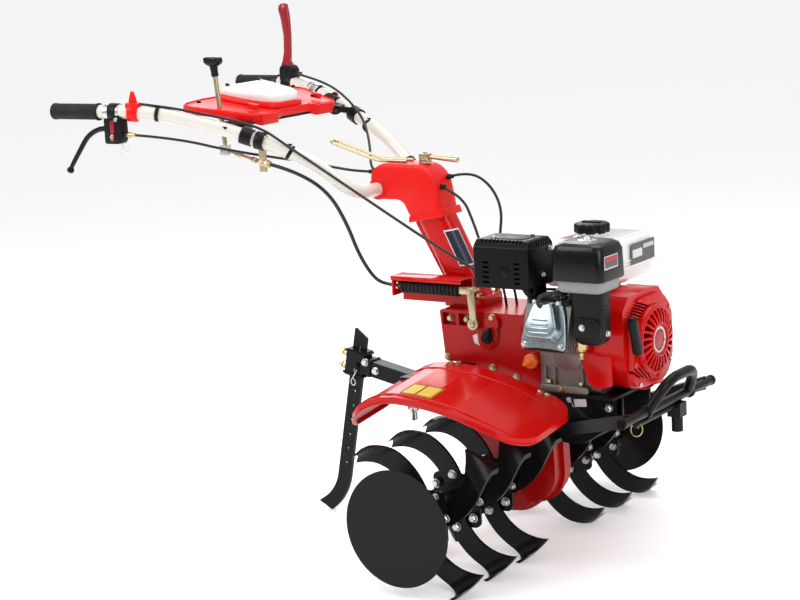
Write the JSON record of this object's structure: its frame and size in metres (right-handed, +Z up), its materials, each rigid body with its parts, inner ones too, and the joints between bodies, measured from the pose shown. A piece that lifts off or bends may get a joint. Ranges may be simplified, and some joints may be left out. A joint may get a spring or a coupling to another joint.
{
  "type": "garden tiller",
  "caption": "Walk-behind garden tiller: engine and gearbox over a wide tine rotor with guard discs, fenders, depth stake, front bumper and a raised handlebar with a control console.",
  "frame": {"origin": "on the floor under the middle of the machine's bounding box, standing on its tines and its depth stake", "axes": "+X forward, away from the operator; +Y to the operator's left; +Z up"},
  "size_m": [1.3754, 0.93, 1.1493],
  "materials": {
    "black_blade": "semi-gloss paint on forged steel",
    "black_paint": "semi-gloss paint",
    "black_plastic": "matt",
    "brass": "satin",
    "bright_steel": "bright",
    "cable_black": "satin sheath",
    "cast_aluminium": "as cast",
    "cream_paint": "gloss paint",
    "dark_red_lever": "gloss",
    "gloss_black": "gloss",
    "muffler_black": "heat-proof satin paint",
    "red_cast_paint": "gloss paint over a casting",
    "red_paint": "gloss paint",
    "red_plastic": "gloss",
    "rubber_grip": "matt",
    "tank_white": "gloss paint",
    "white_plastic": "gloss",
    "zinc_yellow": "yellow zinc"
  },
  "bodies": {
    "chassis": {"air_cleaner": "gloss_black", "bellows": "rubber_grip", "blower_housing": "red_paint", "brake_cable": "cable_black", "carburettor": "cast_aluminium", "clutch_cable": "cable_black", "column": "red_cast_paint", "crankcase": "cast_aluminium", "cylinder": "cast_aluminium", "detent_plug": "brass", "engine_frame": "black_paint", "fender_brackets": "black_paint", "fender_left": "red_paint", "fender_right": "red_paint", "final_drive_case": "red_cast_paint", "front_bumper": "black_paint", "front_socket": "black_paint", "fuel_cap": "black_plastic", "fuel_tank": "tank_white", "gearbox_housing": "red_cast_paint", "handlebar_head": "red_cast_paint", "head_cables": "cable_black", "head_clamp": "brass", "head_rod": "bright_steel", "hitch_bar": "black_paint", "intake_elbow": "black_plastic", "muffler": "muffler_black", "oil_filler_cap": "red_plastic", "recoil_starter": "red_paint", "selector_knob": "black_plastic", "shift_cable": "cable_black", "shift_linkage": "zinc_yellow", "shift_tray": "red_paint", "stake_bolts": "brass", "stake_holder": "black_paint", "starter_handle": "black_plastic", "throttle_cable": "cable_black", "valve_cover": "bright_steel"},
    "rotor": {"guard_discs": "black_paint", "rotor_tubes": "black_paint", "tine_axle": "black_paint", "tines_left": "black_blade", "tines_right": "black_blade"},
    "stake": {"depth_stake": "black_paint"},
    "handlebar": {"brake_lever": "black_plastic", "clutch_lever": "dark_red_lever", "console_base": "red_plastic", "console_cover": "white_plastic", "console_mounts": "black_plastic", "grips": "rubber_grip", "handlebar_tube": "cream_paint", "kill_switch": "black_plastic", "lever_brackets": "black_plastic", "shift_bracket": "zinc_yellow", "shift_knob": "gloss_black", "shift_lever": "bright_steel", "throttle_control": "red_plastic"}
  },
  "joints": [
    {"name": "rotor_spin", "type": "hinge", "parent": "chassis", "child": "rotor", "pos_m": [0.26913, 0, 0.14669], "axis": [0, 1, 0], "continuous": true},
    {"name": "stake_slide", "type": "slide", "parent": "chassis", "child": "stake", "axis": [0.2056, 0, 0.9786], "range_m": [-0.035, 0.21]},
    {"name": "handlebar_tilt", "type": "hinge", "parent": "chassis", "child": "handlebar", "pos_m": [-0.02697, 0, 0.76059], "axis": [0, 1, 0], "range_deg": [-12, 12], "deforming": ["throttle_cable", "shift_cable", "clutch_cable", "brake_cable"]}
  ]
}
